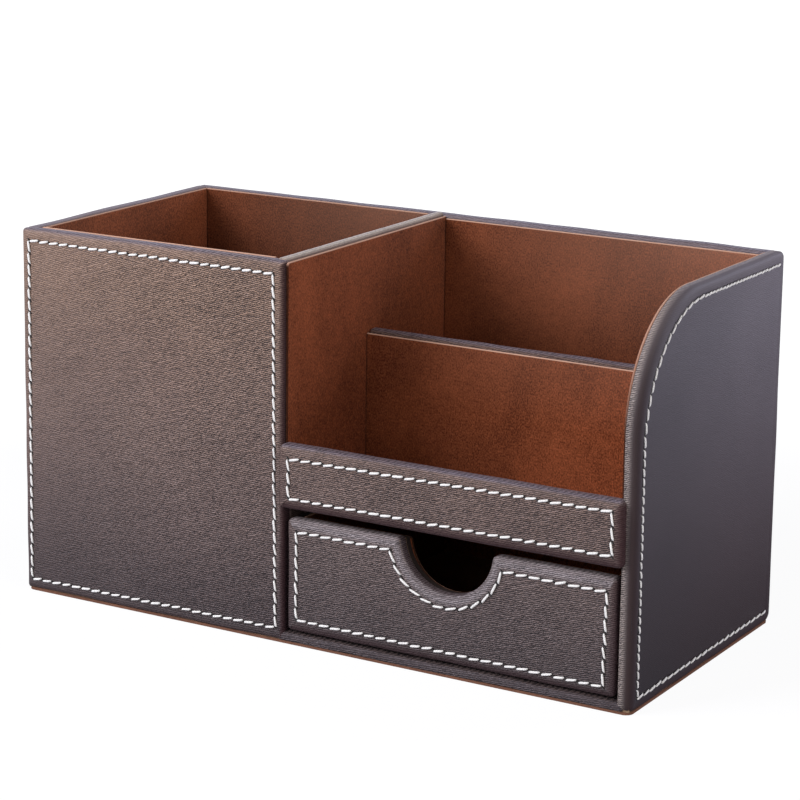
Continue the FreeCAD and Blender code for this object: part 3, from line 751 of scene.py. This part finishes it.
# Drawer box: thin dark boards glued together behind the front, lined with suede cards. The card
# behind the front has a notch of its own, a little narrower than the front's.

def box_notch(node):
    """The notch of a card behind the front: its middle is the front's, its radius 0.6 mm smaller."""
    card_low, card_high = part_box(node)
    middle = ((front_low.x + front_high.x) / 2 - card_low.x) / MM
    return middle, (front_high.z - card_high.z) / MM + NOTCH_DROP - 1.0, NOTCH_RADIUS - 0.6


# The drawer's cards have a lightness under 1: painted shade inside the drawer and behind its notch.
card("drawer_lining_front", REARWARD, "drawer", notch=box_notch("drawer_lining_front"), lightness=0.65,
     painted_haze=(0.03, 0.03))
for node, view in (("drawer_lining_left", RIGHTWARD), ("drawer_lining_right", LEFTWARD),
                   ("drawer_lining_back", FORWARD), ("drawer_lining_floor", UPWARD)):
    card(node, view, "drawer", lightness=0.7, painted_haze=(0.03, 0.03))


# Boards and felt: fibreboard inside the leather, dark paper-faced board for the drawer box, and a
# brown felt glued under the base. They are hidden nearly everywhere and keep their own shape.

def board_finish(name, dark, light):
    """Pressed fibres in two tones, drawn out along the board, with soft clouds."""
    material, shader, place = finish(name, Specular_IOR_Level=0.2)
    fibres = place.stretched((2.4, 2.4, 1.0)).noise(1500, 4.0)
    tone = (fibres * 0.8 + place.noise(60, 3.0) * 0.6 - 0.2).clamped()
    feed(shader, Base_Color=tone.mixed(colour(*dark), colour(*light)),
         Roughness=(0.75 + fibres * 0.2).clamped(), Normal=place.bump(fibres, 0.3, 0.1))
    return material


fibreboard = board_finish("fibreboard", (0.16, 0.10, 0.06), (0.32, 0.22, 0.14))
dark_paper = board_finish("dark_paper", (0.014, 0.010, 0.009), (0.04, 0.028, 0.024))
felt_cloth = board_finish("felt", (0.09, 0.04, 0.026), (0.26, 0.12, 0.075))
for name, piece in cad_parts.items():
    if piece.hide_render:
        continue
    chosen = felt_cloth if name == "base_felt" else fibreboard if name.endswith("board") else dark_paper
    for material_slot in piece.material_slots:
        material_slot.material = chosen


# Studio: a pale floor that keeps the shadow, a white surround, four soft lamps and the camera. The
# floor and the surround look white to the camera and shine only weakly on the object.

def plain_floor(reach=4.0):
    """A large square under the object, white to the camera where no shadow falls."""
    mesh = bpy.data.meshes.new("floor")
    mesh.from_pydata([(-reach, -reach, 0), (reach, -reach, 0), (reach, reach, 0), (-reach, reach, 0)],
                     [], [(0, 1, 2, 3)])
    floor = bpy.data.objects.new("floor", mesh)
    bpy.context.scene.collection.objects.link(floor)
    material = bpy.data.materials.new("floor")
    material.use_nodes = True
    tree = material.node_tree
    tree.nodes.clear()
    place = Socket(tree).make("TexCoord", output="Object")
    seen = place.make("LightPath", output="Is Camera Ray")
    far = place.make("VectorMath", {"operation": "LENGTH"}, {0: place}, "Value") * 2.2
    share = (far - 0.6).clamped() * 0.2 + 0.8
    matt = place.make("BsdfDiffuse", {}, {"Color": colour(0.57, 0.57, 0.62)})
    glow = place.make("Emission", {}, {"Color": colour(1, 1, 1), "Strength": 1.15})
    mixed = place.make("MixShader", {}, {"Fac": seen * share, 1: matt, 2: glow})
    out = tree.nodes.new("ShaderNodeOutputMaterial")
    tree.links.new(mixed.output, out.inputs["Surface"])
    mesh.materials.append(material)


plain_floor()

world = bpy.data.worlds.new("surround")
bpy.context.scene.world = world
world.use_nodes = True
background = world.node_tree.nodes["Background"]
seen, glossy, through = [Socket(world.node_tree).make("LightPath", output=f"Is {kind} Ray")
                         for kind in ("Camera", "Glossy", "Transmission")]
direct = (seen + glossy + through).clamped()
tint = glossy.mixed(colour(1, 1, 1), colour(0.78, 0.80, 1.0))
world.node_tree.links.new(tint.output, background.inputs["Color"])
world.node_tree.links.new((direct * 0.9 + 0.1).output, background.inputs["Strength"])


def lamp(name, place, target, size, power, tint=(1, 1, 1)):
    """A square soft lamp at a place, turned to its target."""
    light = bpy.data.lights.new(name, "AREA")
    light.size = size
    light.energy = power
    light.color = tint
    holder = bpy.data.objects.new(name, light)
    bpy.context.scene.collection.objects.link(holder)
    holder.location = place
    holder.rotation_euler = (Vector(target) - Vector(place)).to_track_quat("-Z", "Y").to_euler()


lamp("key", (-0.9, -1.1, 0.9), (0, 0, 0.07), 0.9, 22, (1, 1, 1.04))
lamp("front", (0.15, -1.4, 0.5), (0, 0, 0.07), 0.8, 4)
lamp("right", (1.3, -0.4, 0.6), (0, 0, 0.07), 0.8, 7, (1, 0.93, 0.86))
lamp("cool", (0.5, 0.62, 0.34), (0.1, 0, 0.08), 0.4, 2.2, (0.82, 0.84, 1.0))

# The camera's place is an angle, a height angle and a distance from the point it aims at. Its lens
# is given in pixels of a square render: the focal length, and where the middle of the view lies.
AZIMUTH, ELEVATION, ROLL = (math.radians(angle) for angle in (30.852, 12.046, 0.6296))
DISTANCE = 1.02535
AIM = Vector((-0.007719, 0.0017, 0.117672))
WIDTH, FOCAL, MIDDLE = 800, 2720.64, (379.43, 302.68)
camera_data = bpy.data.cameras.new("camera")
camera = bpy.data.objects.new("camera", camera_data)
bpy.context.scene.collection.objects.link(camera)
bpy.context.scene.camera = camera
away = Vector((math.sin(AZIMUTH) * math.cos(ELEVATION), -math.cos(AZIMUTH) * math.cos(ELEVATION),
               math.sin(ELEVATION)))
camera.location = AIM + away * DISTANCE
camera.rotation_mode = "QUATERNION"
camera.rotation_quaternion = Quaternion(away, ROLL) @ (-away).to_track_quat("-Z", "Y")
camera_data.sensor_width = 36.0
camera_data.lens = FOCAL / WIDTH * camera_data.sensor_width
camera_data.shift_x = (WIDTH / 2 - MIDDLE[0]) / WIDTH
camera_data.shift_y = (MIDDLE[1] - WIDTH / 2) / WIDTH
camera_data.clip_start = 0.05

bpy.context.scene.view_settings.view_transform = "Standard"
